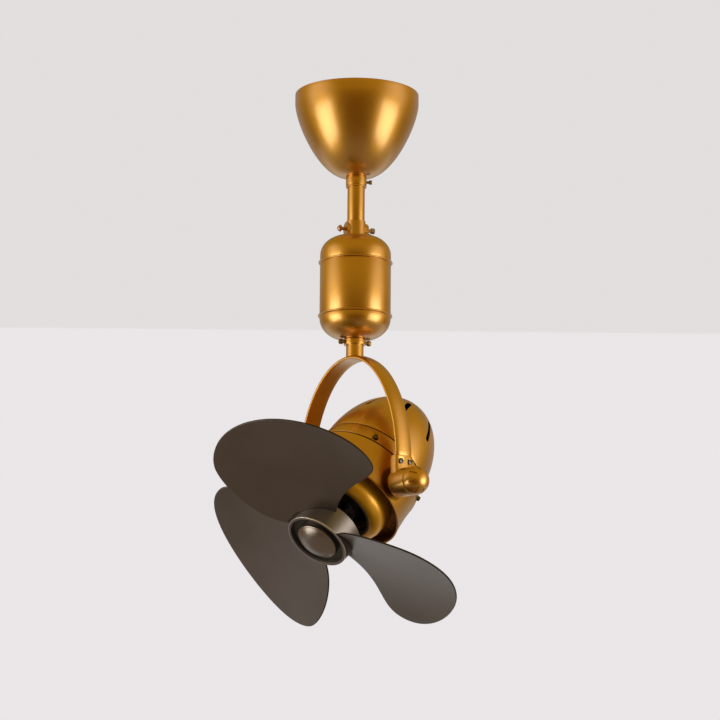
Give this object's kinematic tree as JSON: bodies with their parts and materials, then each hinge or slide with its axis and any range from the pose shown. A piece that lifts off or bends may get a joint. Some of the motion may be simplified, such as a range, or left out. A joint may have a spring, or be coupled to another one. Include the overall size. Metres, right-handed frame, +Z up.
{
  "type": "ceiling-hung orbiting fan",
  "caption": "Short ceiling fan on a downrod: bell canopy, orbit gearbox, arched yoke and a tilting bullet-shaped motor with a bladed rotor",
  "frame": {"origin": "ceiling plane on the downrod's axis, midway between the two ceiling screws", "axes": "+Z up into the ceiling, +X to the viewer's right along the ceiling bracket, +Y away from the viewer"},
  "size_m": [0.2623, 0.2728, 0.5829],
  "materials": {
    "gold": "satin antique gold",
    "steel": "zinc-plated",
    "screw_brass": "satin copper-tinted",
    "bronze_bush": "machined",
    "rubber": "matte",
    "insulator": "matte",
    "friction_fibre": "matte fibre",
    "black_casting": "matte black paint",
    "laminations": "pressed laminations",
    "copper": "varnished copper wire",
    "pewter": "satin gunmetal",
    "blade_bronze": "matte brown-bronze paint"
  },
  "bodies": {
    "ceiling_mount": {"ceiling_bracket": "steel", "hanger_bolt": "steel", "rod_nuts": "steel", "rod_bushes": "rubber", "terminal_block": "insulator", "downrod": "gold", "rod_coupler": "gold", "coupling_bolt": "screw_brass", "bolt_clip": "steel", "gearbox_upper_cap": "gold", "gearbox_beads": "gold", "gearbox_sleeve": "gold", "gearbox_lower_cap": "gold", "gearbox_top_plate": "steel", "coupler_nut": "steel", "gearbox_pillars": "steel", "motor_plate": "steel", "upper_bush": "bronze_bush", "bearing_plate": "steel", "output_bearing": "steel", "orbit_motor": "steel", "brush_block": "insulator"},
    "canopy_cover": {"canopy": "gold", "canopy_collar": "gold", "canopy_collar_screw": "steel"},
    "pinion": {"orbit_pinion": "bronze_bush"},
    "yoke": {"orbit_gear": "bronze_bush", "output_shaft": "steel", "shaft_clip": "steel", "slip_rings": "bronze_bush", "stem": "gold", "stem_collar": "gold", "stem_screws": "screw_brass", "yoke_strap": "gold", "left_knuckle": "gold", "right_knuckle": "gold", "knuckle_screws": "steel", "tilt_cap_nuts": "gold", "tilt_studs": "steel", "friction_washers": "friction_fibre"},
    "head": {"front_shell": "gold", "housing_band": "gold", "rear_shell": "gold", "band_screws": "steel", "front_collar": "gold", "front_plate": "black_casting", "rear_plate": "steel", "stator_core": "laminations", "stator_windings": "copper", "shaft_bearings": "steel"},
    "rotor": {"rotor_core": "laminations", "motor_shaft": "steel", "hub": "pewter", "hub_cap": "pewter", "blade_carrier": "black_casting", "blade_1": "blade_bronze", "blade_2": "blade_bronze", "blade_3": "blade_bronze", "blade_screws": "steel", "hub_nut": "steel"}
  },
  "joints": [
    {"name": "canopy_slide", "type": "slide", "parent": "ceiling_mount", "child": "canopy_cover", "axis": [0, 0, -1], "range_m": [0, 0.038]},
    {"name": "yoke_orbit", "type": "hinge", "parent": "ceiling_mount", "child": "yoke", "pos_m": [0, 0, -0.26], "axis": [0, 0, 1], "continuous": true},
    {"name": "pinion_spin", "type": "hinge", "parent": "ceiling_mount", "child": "pinion", "pos_m": [0.024, 0, -0.23], "axis": [0, 0, 1], "continuous": true},
    {"name": "head_tilt", "type": "hinge", "parent": "yoke", "child": "head", "pos_m": [0, 0, -0.442], "axis": [0.6794, -0.7337, 0], "range_deg": [-44, 41]},
    {"name": "rotor_spin", "type": "hinge", "parent": "head", "child": "rotor", "pos_m": [0, 0, -0.442], "axis": [-0.4785, -0.4431, -0.7581], "continuous": true}
  ],
  "couplings": [
    {"joint": "pinion_spin", "follows": "yoke_orbit", "ratio": -2}
  ]
}
